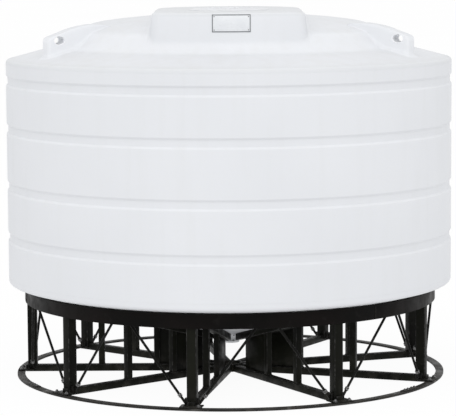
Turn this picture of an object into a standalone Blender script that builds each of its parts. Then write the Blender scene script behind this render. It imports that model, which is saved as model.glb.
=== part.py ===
"""Vertical storage tank: a ribbed plastic tank with a shallow cone bottom on a round steel stand.

Metres, +Z up. The origin is on the floor, on the tank's axis, and the front faces -Y.
"""
import math

import bmesh
import bpy
from mathutils import Matrix, Vector

# Clearance between pieces that touch
GAP = 0.0003

# How far a cutter runs past the face that it cuts
OVERRUN = 0.030

# Tank wall: ten curved segments with four shallow grooves
TANK_RADIUS = 1.790
SHELL = 0.020
TURN_STEPS = 60
WALL_SEGMENTS = 10
WALL_BASE_Z = 0.816
WALL_TOP_Z = 2.520
GROOVE_HEIGHT = 0.085
GROOVE_BASES = (1.097, 1.506, 1.963, 2.347)
GROOVE_DEPTH = 0.013
GROOVE_CHAMFER = 0.016

# Roof: sloping shoulder, steep rim and a low dome
SHOULDER_SLOPE = math.radians(15.0)
SHOULDER_ROUND = 0.030
SHOULDER_INNER = (1.513, 2.624)
RIM = ((1.432, 2.643), (1.385, 2.668), (1.343, 2.700), (1.280, 2.758), (1.235, 2.785), (1.164, 2.809))
DOME_RADIUS = 1.047
DOME_CREST_Z = 2.918
DOME_RISE = 0.073
DOME_RINGS = 4

# Manway boss on the front half of the roof, with the manway in its top
BOSS_FRONT_RADIUS = 1.300
BOSS_HALF_WIDTH = 0.585
BOSS_CORNER = 0.100
BOSS_TOP_Z = 2.949
BOSS_FOOT_Z = 2.585
BOSS_DRAFT = 0.1125
BOSS_ROUND = 0.016
MANWAY_Y = -0.450
MANWAY_RADIUS = 0.270
LID_RADIUS = 0.315
LID_EDGE = 0.010
LID_CHAMFER = (0.010, 0.005)
LID_RISE = 0.004
LID_STEPS = 32

# Three lifting lugs: radial fins on the rim and shoulder, each with an oval eye
LUG_ANGLES = tuple(math.radians(a) for a in (-150.0, -30.0, 90.0))
LUG_THICKNESS = 0.124
LUG_TOP = (
    (1.633, 2.732),
    (1.620, 2.749),
    (1.600, 2.758),
    (1.561, 2.772),
    (1.516, 2.786),
    (1.423, 2.817),
    (1.326, 2.838),
    (1.229, 2.848),
    (1.070, 2.842),
)
LUG_FOOT = ((1.070, 2.688), (1.633, 2.573))
LUG_HOLE = (1.538, 2.731)
LUG_HOLE_HALVES = (0.044, 0.030)
LUG_HOLE_STEPS = 16

# Blank plate on the front of the boss
PLATE_WIDTH = 0.291
PLATE_HEIGHT = 0.132
PLATE_THICKNESS = 0.003
PLATE_MID_Z = 2.872
PLATE_ASIDE = 0.022

# Cone bottom, with a flat middle that carries the outlet
CONE_ANGLE = math.radians(15.0)
KNUCKLE = ((1.790, 0.786), (1.782, 0.768))
CONE_EDGE = (1.762, 0.7575)
CONE_CORNER_RISE = 0.032
SUMP_RADIUS = 0.130
OUTLET_HOLE = 0.050
OUTLET_BORE = 0.035
OUTLET_PIPE = 0.045
OUTLET_COLLAR = (0.095, 0.018)
OUTLET_FLANGE = (0.075, 0.016)
OUTLET_END_Z = 0.235
OUTLET_STEPS = 24

# Stand: nine radial frames under the cone, a top band, a base ring and a hub
FRAMES = 9
STAND_STEPS = 72
FIRST_FRAME = math.radians(-100.2)
BAY = 2 * math.pi / FRAMES
POST = 0.076
POST_FACE = 1.652
MID_POST = (1.050, 0.050)
INNER_POST = (0.600, 0.046)
SPOKE_HEIGHT = 0.056
SPOKE_WIDTH = 0.056
RAIL_DEPTH = 0.054
RAIL_WIDTH = 0.062
RAIL_INNER = 0.135
WEB_THICKNESS = 0.012
WEB_INNER = 0.260
HUB_FACE = 0.100
HUB_WALL = 0.015
HUB_HEIGHT = 0.064
FOOT_PLATE = (1.602, 1.728, 0.170, 0.010)
RING_RADII = (1.672, 1.735)
RING_THICKNESS = 0.016
BAND_BASE_Z = 0.610
BAND_THICKNESS = 0.010
BAND_LIP = (0.023, 0.010)

# Brace rods: two rods from the feet of each bay to a tab behind the band
ROD_RADIUS = 0.010
ROD_FOOT_SIDE = 0.054
ROD_TOP_SIDE = 0.055
ROD_TOP_Z = 0.654
TAB = (0.012, 0.140, 0.070)

WHITE_PLASTIC = (0.83, 0.84, 0.86)
PLATE_GREY = (0.72, 0.73, 0.75)
FITTING_WHITE = (0.76, 0.77, 0.78)
BLACK_PAINT = (0.022, 0.022, 0.021)

HALF_STEP = math.pi / STAND_STEPS


def clear_scene():
    """Remove what the scene holds."""
    for obj in list(bpy.data.objects):
        bpy.data.objects.remove(obj, do_unlink=True)


def new_collection(name):
    collection = bpy.data.collections.new(name)
    bpy.context.scene.collection.children.link(collection)
    return collection


def new_material(name, colour, roughness, metallic=0.0):
    material = bpy.data.materials.new(name)
    material.use_nodes = True
    shader = material.node_tree.nodes["Principled BSDF"]
    shader.inputs["Base Color"].default_value = (*colour, 1.0)
    shader.inputs["Roughness"].default_value = roughness
    shader.inputs["Metallic"].default_value = metallic
    return material


def place(name, data, collection, material=None):
    """Add an object for the given data, with its material."""
    obj = bpy.data.objects.new(name, data)
    collection.objects.link(obj)
    if material is not None:
        data.materials.clear()
        data.materials.append(material)
    return obj


def baked(obj):
    """Replace an object's data by its evaluated mesh, and drop its modifiers."""
    bpy.context.view_layer.update()
    graph = bpy.context.evaluated_depsgraph_get()
    mesh = bpy.data.meshes.new_from_object(obj.evaluated_get(graph))
    if obj.type == "MESH":
        obj.modifiers.clear()
        obj.data = mesh
        return obj
    bm = bmesh.new()
    bm.from_mesh(mesh)
    bmesh.ops.remove_doubles(bm, verts=bm.verts, dist=0.00001)
    bm.to_mesh(mesh)
    bm.free()
    copy = place(obj.name + "_mesh", mesh, obj.users_collection[0])
    copy.matrix_world = obj.matrix_world
    bpy.data.objects.remove(obj, do_unlink=True)
    return copy


def combined(base, others, operation):
    """Apply a Boolean of each of the others to the base, and remove them."""
    for other in others:
        boolean = base.modifiers.new(operation.lower(), "BOOLEAN")
        boolean.operation = operation
        boolean.solver = "EXACT"
        boolean.object = other
        baked(base)
        bpy.data.objects.remove(other, do_unlink=True)
    return base


def box(name, x, y, z, collection):
    """A box between the given limits."""
    bm = bmesh.new()
    bmesh.ops.create_cube(bm, size=1.0)
    size = Matrix.Diagonal((x[1] - x[0], y[1] - y[0], z[1] - z[0], 1.0))
    middle = Matrix.Translation(((x[0] + x[1]) / 2, (y[0] + y[1]) / 2, (z[0] + z[1]) / 2))
    bmesh.ops.transform(bm, matrix=middle @ size, verts=bm.verts)
    mesh = bpy.data.meshes.new(name)
    bm.to_mesh(mesh)
    bm.free()
    return place(name, mesh, collection)


def cylinder(name, radius, height, segments, collection):
    """An upright cylinder about its middle."""
    bm = bmesh.new()
    bmesh.ops.create_cone(
        bm, cap_ends=True, segments=segments, radius1=radius, radius2=radius, depth=height
    )
    mesh = bpy.data.meshes.new(name)
    bm.to_mesh(mesh)
    bm.free()
    return place(name, mesh, collection)


def flat_shape(name, outline, thickness, collection):
    """A filled outline of given thickness, about the plane it is drawn in."""
    curve = bpy.data.curves.new(name, "CURVE")
    curve.dimensions = "2D"
    curve.fill_mode = "BOTH"
    curve.extrude = thickness / 2
    spline = curve.splines.new("POLY")
    spline.points.add(len(outline) - 1)
    for point, (u, v) in zip(spline.points, outline):
        point.co = (u, v, 0.0, 1.0)
    spline.use_cyclic_u = True
    return place(name, curve, collection)


def upright_plate(name, outline, thickness, collection):
    """A flat shape drawn in (radius, height) and stood up along +X."""
    plate = flat_shape(name, outline, thickness, collection)
    plate.rotation_euler = (math.pi / 2, 0.0, 0.0)
    return baked(plate)


def turned(name, profile, collection, material=None, steps=TURN_STEPS, closed=True, round_shade=True):
    """A profile of (radius, height) points, down the outer side, turned about the Z axis."""
    count = len(profile)
    edges = [(i, i + 1) for i in range(count - 1)]
    if closed:
        edges.append((count - 1, 0))
    mesh = bpy.data.meshes.new(name)
    mesh.from_pydata([(r, 0.0, z) for r, z in profile], edges, [])
    obj = place(name, mesh, collection, material)
    screw = obj.modifiers.new("turn", "SCREW")
    screw.axis = "Z"
    screw.steps = steps
    screw.render_steps = steps
    screw.use_merge_vertices = True
    screw.merge_threshold = 0.00005
    screw.use_smooth_shade = round_shade
    return obj


def swept(name, profile, start, end, steps, collection, material=None):
    """A closed profile of (radius, height) points swept from one angle to another, with flat ends."""
    bm = bmesh.new()
    spun = Matrix.Rotation(start, 4, "Z")
    verts = [bm.verts.new(spun @ Matrix.Translation((r, 0.0, z)).to_translation()) for r, z in profile]
    face = bm.faces.new(verts)
    bmesh.ops.spin(
        bm,
        geom=[face, *face.edges, *face.verts],
        cent=(0.0, 0.0, 0.0),
        axis=(0.0, 0.0, 1.0),
        angle=end - start,
        steps=steps,
        use_duplicate=False,
    )
    bmesh.ops.recalc_face_normals(bm, faces=bm.faces)
    mesh = bpy.data.meshes.new(name)
    bm.to_mesh(mesh)
    bm.free()
    return place(name, mesh, collection, material)


def rod(name, start, end, collection):
    """A round rod from one point to another."""
    curve = bpy.data.curves.new(name, "CURVE")
    curve.dimensions = "3D"
    curve.bevel_depth = ROD_RADIUS
    curve.bevel_resolution = 2
    curve.use_fill_caps = True
    spline = curve.splines.new("POLY")
    spline.points.add(1)
    spline.points[0].co = (*start, 1.0)
    spline.points[1].co = (*end, 1.0)
    return baked(place(name, curve, collection))


def smooth(obj, sharp_degrees=30.0):
    obj.data.shade_smooth()
    obj.data.set_sharp_from_angle(angle=math.radians(sharp_degrees))


def arc(centre, radius, start, end, steps):
    """Points on a circle, with both ends, by angle in radians."""
    angles = [start + (end - start) * i / steps for i in range(steps + 1)]
    return [(centre[0] + radius * math.cos(a), centre[1] + radius * math.sin(a)) for a in angles]


def cone_z(radius):
    """Height of the cone's underside at a radius."""
    return CONE_EDGE[1] - (CONE_EDGE[0] - radius) * math.tan(CONE_ANGLE)


def wall_profile():
    outer = [(TANK_RADIUS, WALL_TOP_Z)]
    floor_radius = TANK_RADIUS - GROOVE_DEPTH
    for low in reversed(GROOVE_BASES):
        high = low + GROOVE_HEIGHT
        outer.append((TANK_RADIUS, high))
        outer.append((floor_radius, high - GROOVE_CHAMFER))
        outer.append((floor_radius, low + GROOVE_CHAMFER))
        outer.append((TANK_RADIUS, low))
    outer.append((TANK_RADIUS, WALL_BASE_Z))
    inner_radius = TANK_RADIUS - SHELL
    return outer + [(inner_radius, WALL_BASE_Z), (inner_radius, WALL_TOP_Z)]


def build_wall(collection, material):
    """The wall's segments, side by side around the tank."""
    profile = wall_profile()
    turn = 2 * math.pi / WALL_SEGMENTS
    trim = GAP / 2 / TANK_RADIUS
    steps = TURN_STEPS // WALL_SEGMENTS
    for i in range(WALL_SEGMENTS):
        name = f"wall_segment_{i + 1}"
        obj = swept(name, profile, i * turn + trim, (i + 1) * turn - trim, steps, collection, material)
        smooth(obj)


def roof_profile(inset, rim_z):
    """The roof's outer side from the crest to the rim, moved in and down by the inset."""
    points = []
    for i in range(DOME_RINGS + 1):
        radius = DOME_RADIUS * i / DOME_RINGS
        points.append((radius, DOME_CREST_Z - DOME_RISE * (radius / DOME_RADIUS) ** 2))
    points.extend(reversed(RIM))
    points.append(SHOULDER_INNER)
    slope = SHOULDER_SLOPE
    run = TANK_RADIUS - SHOULDER_ROUND - SHOULDER_INNER[0]
    centre = (TANK_RADIUS - SHOULDER_ROUND, SHOULDER_INNER[1] - run * math.tan(slope) - SHOULDER_ROUND)
    points.extend(arc(centre, SHOULDER_ROUND, math.pi / 2 - slope, 0.0, 3))
    moved = [(max(r - inset, 0.0), z - inset) for r, z in points]
    return moved + [(TANK_RADIUS - inset, rim_z), (0.0, rim_z)]


def boss_outline(half_width, front_radius, corner):
    """Plan of the boss: a front wall round the tank's axis, round corners, and a round back."""
    side_x = half_width - corner
    side_y = -math.sqrt((front_radius - corner) ** 2 - side_x**2)
    turn = math.atan2(-side_y, side_x)
    front = arc((0.0, 0.0), front_radius, turn - math.pi, -turn, 12)
    right = arc((side_x, side_y), corner, -turn, 0.0, 4)
    back = arc((0.0, 0.0), half_width, 0.0, math.pi, 14)
    left = arc((-side_x, side_y), corner, -math.pi, turn - math.pi, 4)
    return front + right[1:] + back + left[:-1]


def boss_block(name, inset, top_z, foot_z, collection):
    """The boss as a block with drafted walls, moved in by the inset."""
    outline = boss_outline(BOSS_HALF_WIDTH - inset, BOSS_FRONT_RADIUS - inset, BOSS_CORNER - inset)
    block = flat_shape(name, outline, top_z - foot_z, collection)
    block.location = (0.0, 0.0, (top_z + foot_z) / 2)
    block = baked(block)
    height = (top_z - foot_z) / 2
    for vertex in block.data.vertices:
        below_top = BOSS_TOP_Z - (vertex.co.z - height + top_z)
        vertex.co.x *= 1.0 + BOSS_DRAFT * below_top
        vertex.co.y *= 1.0 + BOSS_DRAFT * below_top
    return block


def build_roof(collection, cutters, material):
    """Roof shell with its boss and lugs, open below, and with the manway's hole."""
    rim_z = WALL_TOP_Z + GAP
    roof = baked(turned("roof", roof_profile(0.0, rim_z), collection, closed=False))
    block = boss_block("boss", 0.0, BOSS_TOP_Z, BOSS_FOOT_Z, cutters)
    bevel = block.modifiers.new("round", "BEVEL")
    bevel.width = BOSS_ROUND
    bevel.segments = 3
    bevel.limit_method = "ANGLE"
    bevel.angle_limit = math.radians(50.0)
    added = [baked(block)]
    for angle in LUG_ANGLES:
        lug = upright_plate("lug", [*LUG_TOP, *LUG_FOOT], LUG_THICKNESS, cutters)
        lug.rotation_euler.z = angle
        added.append(lug)
    combined(roof, added, "UNION")

    inside = baked(turned("inside", roof_profile(SHELL, rim_z - OVERRUN), cutters, closed=False))
    boss_inside = boss_block("boss_inside", SHELL, BOSS_TOP_Z - SHELL, BOSS_FOOT_Z - OVERRUN, cutters)
    manway = cylinder("manway", MANWAY_RADIUS, 2 * (SHELL + OVERRUN), LID_STEPS, cutters)
    manway.location = (0.0, MANWAY_Y, BOSS_TOP_Z)
    removed = [inside, boss_inside, manway]
    radius, height = LUG_HOLE
    for angle in LUG_ANGLES:
        hole = cylinder("lug_hole", 1.0, LUG_THICKNESS + 2 * OVERRUN, LUG_HOLE_STEPS, cutters)
        hole.scale = (*LUG_HOLE_HALVES, 1.0)
        hole.rotation_euler = (math.pi / 2, 0.0, angle)
        hole.location = (radius * math.cos(angle), radius * math.sin(angle), height)
        removed.append(hole)
    combined(roof, removed, "DIFFERENCE")
    roof.data.materials.clear()
    roof.data.materials.append(material)
    smooth(roof)


def build_lid(collection, material):
    """The manway's lid, closed on top of the boss."""
    base = BOSS_TOP_Z + GAP
    edge = base + LID_EDGE
    profile = [
        (0.0, edge + LID_RISE),
        (LID_RADIUS * 0.6, edge + LID_RISE * 0.7),
        (LID_RADIUS - LID_CHAMFER[0], edge),
        (LID_RADIUS, edge - LID_CHAMFER[1]),
        (LID_RADIUS, base),
        (0.0, base),
    ]
    lid = turned("manway_lid", profile, collection, material, steps=LID_STEPS, closed=False)
    lid.location.y = MANWAY_Y


def build_plate(collection, material):
    """The blank plate, curved to the boss's front wall."""
    low = PLATE_MID_Z - PLATE_HEIGHT / 2
    high = PLATE_MID_Z + PLATE_HEIGHT / 2
    wall_high = BOSS_FRONT_RADIUS * (1.0 + BOSS_DRAFT * (BOSS_TOP_Z - high)) + GAP
    wall_low = BOSS_FRONT_RADIUS * (1.0 + BOSS_DRAFT * (BOSS_TOP_Z - low)) + GAP
    profile = [
        (wall_high + PLATE_THICKNESS, high),
        (wall_low + PLATE_THICKNESS, low),
        (wall_low, low),
        (wall_high, high),
    ]
    reach = PLATE_WIDTH / 2 / wall_low
    middle = PLATE_ASIDE / wall_low - math.pi / 2
    swept("blank_plate", profile, middle - reach, middle + reach, 8, collection, material)


def build_bottom(collection, material):
    """The cone bottom: a turned shell with a hole in its flat middle."""
    sump_z = cone_z(SUMP_RADIUS)
    inner_edge = (CONE_EDGE[0] - SHELL, CONE_EDGE[1] + SHELL)
    profile = [
        (TANK_RADIUS, WALL_BASE_Z - GAP),
        *KNUCKLE,
        CONE_EDGE,
        (SUMP_RADIUS, sump_z),
        (OUTLET_HOLE, sump_z),
        (OUTLET_HOLE, sump_z + SHELL),
        (SUMP_RADIUS, sump_z + SHELL),
        inner_edge,
        (TANK_RADIUS - SHELL, CONE_EDGE[1] + CONE_CORNER_RISE),
        (TANK_RADIUS - SHELL, WALL_BASE_Z - GAP),
    ]
    turned("cone_bottom", profile, collection, material)


def build_outlet(collection, material):
    """The outlet fitting under the middle of the cone."""
    top = cone_z(SUMP_RADIUS) - GAP
    collar_radius, collar_height = OUTLET_COLLAR
    flange_radius, flange_height = OUTLET_FLANGE
    profile = [
        (collar_radius, top),
        (collar_radius, top - collar_height),
        (OUTLET_PIPE, top - collar_height),
        (OUTLET_PIPE, OUTLET_END_Z + flange_height),
        (flange_radius, OUTLET_END_Z + flange_height),
        (flange_radius, OUTLET_END_Z),
        (OUTLET_BORE, OUTLET_END_Z),
        (OUTLET_BORE, top),
    ]
    turned("outlet_fitting", profile, collection, material, steps=OUTLET_STEPS)


def radial_frame(cutters):
    """One welded frame of the stand, along +X: posts, ground spoke, sloping rail, web and foot."""
    inner_face = POST_FACE - POST
    low = SPOKE_HEIGHT / 2
    post_top = [(r, cone_z(r) - GAP) for r in (POST_FACE, inner_face)]
    post = upright_plate("post", [(POST_FACE, low), *post_top, (inner_face, low)], POST, cutters)

    drop = RAIL_DEPTH / math.cos(CONE_ANGLE)
    rail_ends = (RAIL_INNER, inner_face + POST / 2)
    rail_top = [(r, cone_z(r) - GAP) for r in rail_ends]
    rail_under = [(r, z - drop) for r, z in reversed(rail_top)]
    rail = upright_plate("rail", rail_top + rail_under, RAIL_WIDTH, cutters)

    ring_face = RING_RADII[0] * math.cos(HALF_STEP) - GAP
    side = SPOKE_WIDTH / 2
    spoke = box("spoke", (HUB_FACE, ring_face), (-side, side), (0.0, SPOKE_HEIGHT), cutters)
    pieces = [post, rail]
    for radius, width in (MID_POST, INNER_POST):
        reach = (radius - width / 2, radius + width / 2)
        height = (low, cone_z(radius) - drop / 2)
        pieces.append(box("inner_post", reach, (-width / 2, width / 2), height, cutters))

    web_ends = (WEB_INNER, INNER_POST[0])
    web_top = [(r, cone_z(r) - drop / 2) for r in web_ends]
    web_base = [(r, low) for r in reversed(web_ends)]
    pieces.append(upright_plate("web", web_top + web_base, WEB_THICKNESS, cutters))

    start, end, width, thickness = FOOT_PLATE
    base = RING_THICKNESS + GAP
    plate = box("foot", (start, end), (-width / 2, width / 2), (base, base + thickness), cutters)
    pieces.append(plate)
    return combined(spoke, pieces, "UNION")


def bay_brace(cutters):
    """The two rods of one bay and the tab that carries their tops, about +X."""
    thickness, width, height = TAB
    tab_x = (POST_FACE - thickness, POST_FACE)
    tab_z = (ROD_TOP_Z - height / 2, ROD_TOP_Z + height / 2)
    tab = box("tab", tab_x, (-width / 2, width / 2), tab_z, cutters)
    foot_radius = POST_FACE - POST / 2
    foot_z = RING_THICKNESS + GAP + FOOT_PLATE[3]
    rods = []
    for side in (-1.0, 1.0):
        turn = Matrix.Rotation(side * BAY / 2, 3, "Z")
        foot = turn @ Vector((foot_radius, -side * ROD_FOOT_SIDE, foot_z))
        top = Vector((POST_FACE - thickness, side * ROD_TOP_SIDE, ROD_TOP_Z))
        lean = (top - foot).xy.length / (top - foot).length
        foot.z += GAP + ROD_RADIUS * lean
        rods.append(rod("rod", foot, top, cutters))
    return combined(tab, rods, "UNION")


def build_stand(collection, cutters, material):
    """Frames and braces all round, the top band, the base ring and the hub."""
    frame = radial_frame(cutters)
    brace = bay_brace(cutters)
    for name, master, offset in (("radial_frame", frame, 0.0), ("bay_brace", brace, BAY / 2)):
        for i in range(FRAMES):
            copy = place(f"{name}_{i + 1}", master.data, collection, material)
            copy.rotation_euler.z = FIRST_FRAME + offset + i * BAY
        bpy.data.objects.remove(master, do_unlink=True)

    flat_to_corner = 1.0 / math.cos(HALF_STEP)
    inner = (POST_FACE + GAP) * flat_to_corner
    outer = (POST_FACE + GAP + BAND_THICKNESS) * flat_to_corner
    lip_width, lip_height = BAND_LIP
    top = cone_z(POST_FACE) - GAP
    band = [
        (outer + lip_width, top),
        (outer + lip_width, top - lip_height),
        (outer, top - lip_height),
        (outer, BAND_BASE_Z),
        (inner, BAND_BASE_Z),
        (inner, top),
    ]
    ring_turn = FIRST_FRAME + HALF_STEP
    rolled = turned("top_band", band, collection, material, STAND_STEPS)
    rolled.rotation_euler.z = ring_turn

    low, high = RING_RADII
    flange = [(high, RING_THICKNESS), (high, 0.0), (low, 0.0), (low, RING_THICKNESS)]
    ring = turned("base_ring", flange, collection, material, STAND_STEPS)
    ring.rotation_euler.z = ring_turn

    corner = 1.0 / math.cos(BAY / 2)
    face = (HUB_FACE - GAP) * corner
    bore = face - HUB_WALL * corner
    tube = [(face, HUB_HEIGHT), (face, 0.0), (bore, 0.0), (bore, HUB_HEIGHT)]
    hub = turned("hub", tube, collection, material, FRAMES, round_shade=False)
    hub.rotation_euler.z = FIRST_FRAME + BAY / 2


def main():
    clear_scene()
    parts = new_collection("storage_tank")
    cutters = new_collection("construction")
    shell = new_material("tank_plastic", WHITE_PLASTIC, 0.45)
    roof = new_material("roof_plastic", WHITE_PLASTIC, 0.45)
    bottom = new_material("bottom_plastic", WHITE_PLASTIC, 0.50)
    lid = new_material("lid_plastic", WHITE_PLASTIC, 0.40)
    plate = new_material("plate_paint", PLATE_GREY, 0.45)
    fitting = new_material("fitting_plastic", FITTING_WHITE, 0.45)
    steel = new_material("stand_paint", BLACK_PAINT, 0.40)
    build_wall(parts, shell)
    build_roof(parts, cutters, roof)
    build_lid(parts, lid)
    build_plate(parts, plate)
    build_bottom(parts, bottom)
    build_outlet(parts, fitting)
    build_stand(parts, cutters, steel)


main()
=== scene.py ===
"""Looks of a vertical storage tank: a white ribbed plastic tank on a black welded steel stand.

Metres, in the frame's axes: +Z up, the tank's axis through the origin, and the front facing -Y.
"""
import bisect
import math

import bmesh
import bpy
from mathutils import Matrix, Vector


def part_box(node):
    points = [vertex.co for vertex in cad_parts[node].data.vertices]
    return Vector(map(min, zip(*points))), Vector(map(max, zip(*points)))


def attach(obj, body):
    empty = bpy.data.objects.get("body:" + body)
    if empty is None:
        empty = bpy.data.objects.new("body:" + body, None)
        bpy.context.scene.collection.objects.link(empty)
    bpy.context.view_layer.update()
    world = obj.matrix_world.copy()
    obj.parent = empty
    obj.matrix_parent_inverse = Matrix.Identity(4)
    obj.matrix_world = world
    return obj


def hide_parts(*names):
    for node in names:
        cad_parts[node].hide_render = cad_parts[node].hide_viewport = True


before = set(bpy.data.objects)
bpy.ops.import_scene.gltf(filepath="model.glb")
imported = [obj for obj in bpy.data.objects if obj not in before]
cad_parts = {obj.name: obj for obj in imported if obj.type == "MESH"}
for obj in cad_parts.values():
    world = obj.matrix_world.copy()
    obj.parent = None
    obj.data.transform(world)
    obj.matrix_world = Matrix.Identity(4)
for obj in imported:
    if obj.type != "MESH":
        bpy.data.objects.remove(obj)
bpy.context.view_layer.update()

BODY = "root"

# Small gap left between neighbouring pieces
GAP = 0.0003

# The photograph's view: image size, lens in pixels, and where the tank's axis falls
IMAGE_WIDTH = 456
CAMERA_DISTANCE = 19.0
CAMERA_HEIGHT = 3.483
CAMERA_TILT = math.radians(6.461)
CAMERA_ROLL = math.radians(0.35)
FOCAL_PIXELS = 2355.4
AXIS_COLUMN = 229.5
SENSOR_WIDTH = 36.0
CLIP_END = 3000.0

# White surroundings, one soft light, and a wide floor that reads as white
SKY_LOW = (0.97, 0.975, 0.98, 1.0)
SKY_HIGH = (1.0, 1.0, 1.0, 1.0)
SKY_STRENGTH = 0.98
LIGHT_PLACE = (-0.2, -11.5, 15.4)
LIGHT_TARGET = (0.0, 0.0, 1.6)
LIGHT_SIZE = 10.0
LIGHT_POWER = 740.0
FLOOR_RADIUS = 900.0
FLOOR_Z = -0.0005
FLOOR_GLOW = 0.945

# Tank wall with its four grooves
TANK_RADIUS = 1.790
SHELL = 0.020
WALL_BASE_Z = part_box("wall_segment_1")[0].z
WALL_TOP_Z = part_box("wall_segment_1")[1].z
GROOVE_HEIGHT = 0.085
GROOVE_BASES = (1.097, 1.506, 1.963, 2.347)
GROOVE_DEPTH = 0.013
GROOVE_CHAMFER = 0.016
GROOVE_LIP = 0.009
TANK_STEPS = 288

# Roof: dome, steep rim, sloping shoulder
DOME_RADIUS = 1.047
DOME_CREST_Z = 2.918
DOME_RISE = 0.073
RIM = ((1.164, 2.809), (1.235, 2.785), (1.280, 2.758), (1.343, 2.700), (1.385, 2.668), (1.432, 2.643))
SHOULDER_SLOPE = math.radians(15.0)
SHOULDER_INNER = (1.513, 2.624)
SHOULDER_BETWEEN = (1.60, 1.70)
SHOULDER_ROUND = 0.030
UNDERSIDE_RADII = (1.60, 1.40, 1.25, 1.00, 0.50)
# Belts of painted shade that darken the highlight on the shoulder's outer round and the boss's top edge:
# where each starts, is full and fades, and how much of it shows
ROOF_SHADE_BELTS = ((2.518, 2.543, 2.546, 0.27), (2.917, 2.937, 3.000, 0.20))

# Manway boss, its lid and its plate
BOSS_TOP_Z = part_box("roof")[1].z
BOSS_FRONT_RADIUS = 1.300
BOSS_HALF_WIDTH = 0.585
BOSS_CORNER = 0.100
BOSS_DRAFT = 0.1125
BOSS_ROUNDS = (0.013, 0.036)  # at its front, at its sides
BOSS_FILLET = 0.038
# Steps round the boss: its front, each corner, each side and its back
BOSS_STEPS = (56, 12, 56, 96)
# Steps out along a ray: over the boss, down its wall, and on to the shoulder's round
RAY_STEPS = (7, 4, 49)
MANWAY_Y = -0.450
LID_RADIUS = 0.315
LID_LIP = 0.003
LID_STEPS = 96
LID_TOP = (  # radius, drop below the top, round of the corner
    (0.046, 0.000, 0.002),
    (0.050, 0.007, 0.002),
    (0.232, 0.007, 0.002),
    (0.240, 0.002, 0.002),
    (0.270, 0.003, 0.010),
)
LID_RIBS = 24
LID_RIB_REACH = (0.060, 0.228)
LID_RIB_HALF = 0.004
LID_RIB_DROPS = (0.010, 0.003)
LID_RIB_EDGE = 0.0015
PLATE_WIDTH = 0.291
PLATE_HEIGHT = 0.132
PLATE_MID_Z = 2.872
PLATE_ASIDE = 0.022
PLATE_BORDER = 0.007
PANEL_DEPTH = (0.0, 0.0020)
PANEL_EDGE = 0.0006
BORDER_DEPTH = (0.0, 0.0030)
BORDER_EDGE = 0.0008
RIVET_INSET = 0.016
RIVET_RADIUS = 0.0042
RIVET_BASE = 0.0018
RIVET_HEIGHT = 0.0012
RIVET_EDGE = 0.0009

# Lifting lugs, along their own +X
LUG_DEGREES = (-150.0, -30.0, 90.0)
LUG_REACH = (1.060, 1.633)
LUG_THICKNESS = 0.124
LUG_TOP = (
    (1.060, 2.831),
    (1.229, 2.848),
    (1.326, 2.838),
    (1.423, 2.817),
    (1.516, 2.786),
    (1.561, 2.772),
    (1.600, 2.758),
    (1.620, 2.749),
    (1.633, 2.732),
)
LUG_CORNER = 0.030
LUG_ROUND = 0.018
LUG_ROUND_SHARE = 0.2  # at most, of the lug's height there
LUG_FILLET = 0.045
# Levels of a lug: depths under the roof, shares of the way up, and steps in over its top
LUG_SUNK = (0.030, 0.002)
LUG_FILLET_SHARE = 0.225
LUG_SHARES = (0.40, 0.60, 0.78)
LUG_INSETS = (0.026, 0.040, 0.054)
LUG_SHARP = math.radians(40.0)
LUG_EYE = (1.538, 2.731)  # distance out, height
LUG_EYE_HALVES = (0.044, 0.030)
EYE_FLARE = 0.005
EYE_ROUND = 0.010
EYE_STEPS = 40
BORE_REACH = 0.030  # how far light spreads in the plastic
LUG_STEPS = 40

# Cone bottom and outlet
CONE_ANGLE = math.radians(15.0)
CONE_EDGE = (1.762, 0.7575)
CONE_ROUND = 0.030
SUMP_RADIUS = 0.130
SUMP_ROUND = 0.020
OUTLET_HOLE = 0.050
OUTLET_BORE = 0.035
OUTLET_PIPE = 0.045
OUTLET_COLLAR = (0.095, 0.018)  # radius, thickness
OUTLET_FLANGE = (0.075, 0.016)
COLLAR_ROUND = 0.004
PIPE_FILLET = 0.006
OUTLET_STEPS = 64
OUTLET_BASE_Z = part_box("outlet_fitting")[0].z
OUTLET_BOLTS = 8
FLANGE_NUTS = (0.062, 0.0065)  # radius of their circle, their own radius
COLLAR_NUTS = (0.076, 0.0070)
OUTLET_NUT_HEIGHT = 0.008

# Stand
FRAMES = 9
FIRST_FRAME = math.radians(-100.2)
BAY = 2 * math.pi / FRAMES
STAND_FACETS = 72
POST = 0.076
POST_FACE = 1.652
MID_POST = (1.050, 0.050)  # radius of its middle, width
INNER_POST = (0.600, 0.046)
POST_SUNK = (0.006, 0.010)  # into the spoke, into the rail
SPOKE = 0.056
RAIL_DEPTH = 0.054
RAIL_WIDTH = 0.062
RAIL_INNER = 0.135
WEB_THICKNESS = 0.012
WEB_INNER = 0.260
WEB_SUNK = 0.004
HUB_FACE = 0.100
HUB_WALL = 0.015
HUB_HEIGHT = 0.064
FOOT_PLATE = (1.602, 1.728, 0.170, 0.010)  # inner and outer end, width, thickness
FOOT_BOLTS = (1.698, 0.062)  # distance out, distance to each side
FOOT_BOLT_TURN = 0.558
RING_RADII = (1.672, 1.735)
RING_THICKNESS = 0.016
SECTIONS = 3  # rolled lengths that make up the ring and the band
SPLICE_HALF = 0.095
SPLICE_MARGIN = 0.005
SPLICE_THICKNESS = 0.006
SPLICE_EDGE = 0.002
SPLICE_BAYS = 1.62
SPLICE_BOLTS = (-0.070, -0.026, 0.026, 0.070)
SPLICE_BOLT = (0.010, 0.011)  # radius, height
BAND_BASE_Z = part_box("top_band")[0].z
BAND_THICKNESS = 0.010
BAND_LIP = (0.023, 0.010)  # width, height
BAND_FILLET = 0.004
SEAM_BAYS = 1.3
ROD_RADIUS = 0.010
ROD_FOOT_SIDE = 0.054
ROD_TOP_SIDE = 0.055
ROD_TOP_Z = 0.654
ROD_NUTS_AT = (0.060, 0.074)  # distances up from the rod's foot
ROD_NUT = (0.0175, 0.011)  # radius, height
ROD_WELD_AT = (0.050, 0.025, 0.004)  # distances down from its top
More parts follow.
